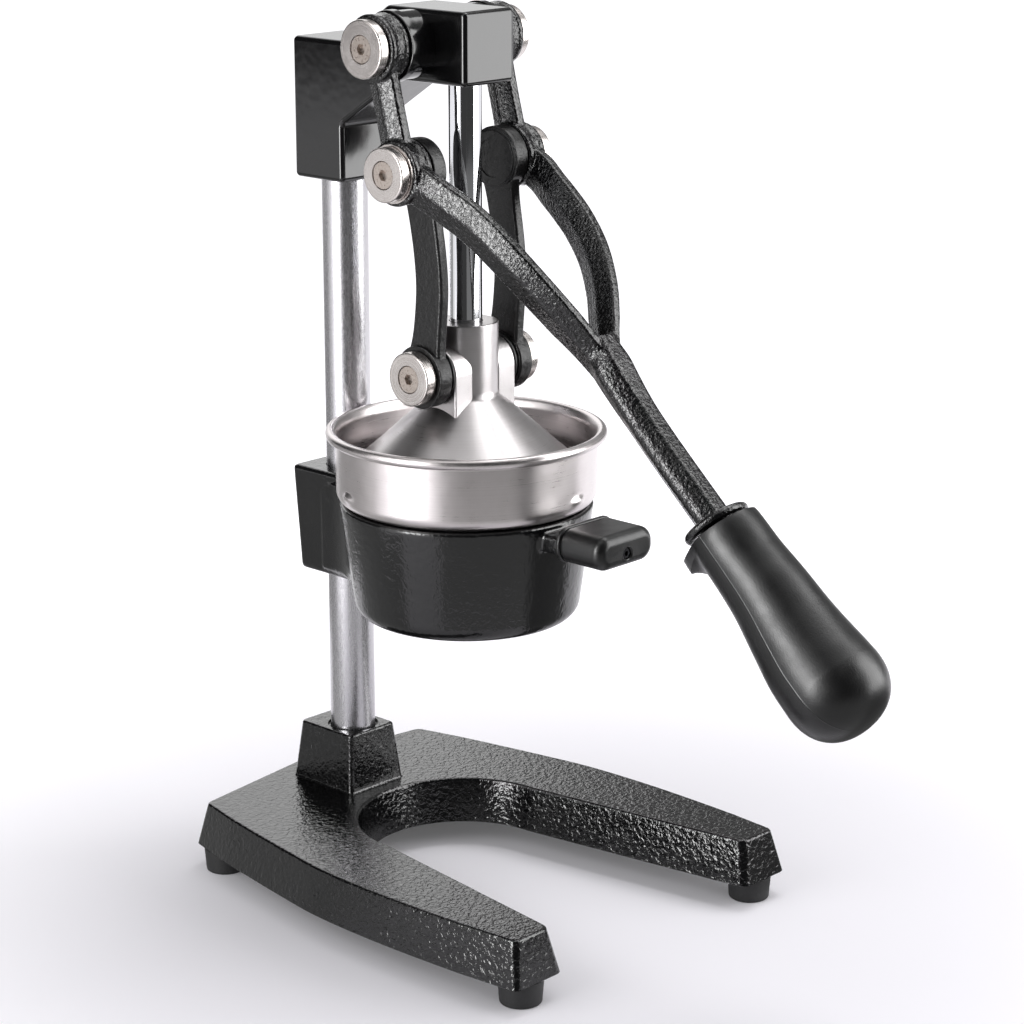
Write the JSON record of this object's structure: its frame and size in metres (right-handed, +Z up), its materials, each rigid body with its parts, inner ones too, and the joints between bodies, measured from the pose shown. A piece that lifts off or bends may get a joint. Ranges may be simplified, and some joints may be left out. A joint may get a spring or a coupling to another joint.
{
  "type": "lever citrus juice press",
  "caption": "Tall bench press for halved citrus: a forked lever lowers a bell on a guide rod onto a ribbed cone in a pan above a spouted bowl.",
  "frame": {"origin": "middle of the footprint of the whole press, on the ground under the rubber feet, with the lever down", "axes": "+Z up, -Y to the front where the lever grip points, +X to the right of a person behind the lever grip's mirror plane; the press is mirror-symmetric in X"},
  "size_m": [0.2112, 0.3872, 0.4489],
  "materials": {
    "hammered_black_enamel": "gloss black enamel with a fine hammered texture, on cast metal",
    "gloss_black_enamel": "smooth gloss black enamel on cast metal",
    "satin_black_enamel": "satin black enamel with a fine grain",
    "satin_black_plastic": "satin moulded plastic",
    "black_nylon": "satin black nylon",
    "black_rubber": "matt rubber",
    "brushed_steel": "bright drawn steel, finely brushed along its length",
    "chrome": "mirror chrome",
    "turned_steel": "faced in a lathe, fine rings",
    "zinc_steel": "plain plated steel",
    "cast_aluminium": "satin cast aluminium",
    "spun_stainless": "spun stainless sheet, polished rim"
  },
  "bodies": {
    "frame": {"base_casting": "hammered_black_enamel", "foot_front_left": "black_rubber", "foot_screw_front_left": "zinc_steel", "foot_front_right": "black_rubber", "foot_screw_front_right": "zinc_steel", "foot_rear_left": "black_rubber", "foot_screw_rear_left": "zinc_steel", "foot_rear_right": "black_rubber", "foot_screw_rear_right": "zinc_steel", "rear_post": "brushed_steel", "post_bolt": "zinc_steel", "head_casting": "gloss_black_enamel", "head_set_screw_1": "zinc_steel", "head_set_screw_2": "zinc_steel", "guide_rod": "chrome", "trunnion_pin_right": "zinc_steel", "trunnion_cap_right": "turned_steel", "trunnion_screw_right": "zinc_steel", "trunnion_pin_left": "zinc_steel", "trunnion_cap_left": "turned_steel", "trunnion_screw_left": "zinc_steel", "bowl_holder": "hammered_black_enamel", "clamp_set_screw": "zinc_steel", "bowl_grip": "satin_black_plastic", "bowl_grip_screw": "zinc_steel", "strainer_pan": "spun_stainless", "reamer_cone": "cast_aluminium"},
    "lever": {"lever_yoke": "hammered_black_enamel", "lever_grip": "satin_black_plastic", "middle_pin_right": "zinc_steel", "middle_cap_right": "turned_steel", "middle_screw_right": "zinc_steel", "middle_washer_right": "turned_steel", "middle_pin_left": "zinc_steel", "middle_cap_left": "turned_steel", "middle_screw_left": "zinc_steel", "middle_washer_left": "turned_steel"},
    "bell": {"press_bell": "cast_aluminium", "bell_spacer_right": "black_nylon", "bell_spacer_left": "black_nylon", "bell_pivot_pin_right": "zinc_steel", "bell_pivot_cap_right": "turned_steel", "bell_pivot_screw_right": "zinc_steel", "bell_pivot_pin_left": "zinc_steel", "bell_pivot_cap_left": "turned_steel", "bell_pivot_screw_left": "zinc_steel"},
    "link_left": {"link_left": "satin_black_enamel", "link_pin_end_left": "zinc_steel"},
    "link_right": {"link_right": "satin_black_enamel", "link_pin_end_right": "zinc_steel"}
  },
  "joints": [
    {"name": "lever_hinge", "type": "hinge", "parent": "frame", "child": "lever", "pos_m": [0, 0.08143, 0.4316], "axis": [-1, 0, 0], "range_deg": [0, 80]},
    {"name": "bell_slide", "type": "slide", "parent": "frame", "child": "bell", "axis": [0, 0, 1], "range_m": [0, 0.0716]},
    {"name": "link_left_hinge", "type": "hinge", "parent": "bell", "child": "link_left", "pos_m": [0, 0.06343, 0.2733], "axis": [1, 0, 0], "range_deg": [0, 26.2]},
    {"name": "link_right_hinge", "type": "hinge", "parent": "bell", "child": "link_right", "pos_m": [0, 0.06343, 0.2733], "axis": [1, 0, 0], "range_deg": [0, 26.2]}
  ],
  "couplings": [
    {"joint": "bell_slide", "follows": "lever_hinge", "m_per_rad": 0.0512},
    {"joint": "link_left_hinge", "follows": "lever_hinge", "ratio": 0.326},
    {"joint": "link_right_hinge", "follows": "lever_hinge", "ratio": 0.326}
  ]
}
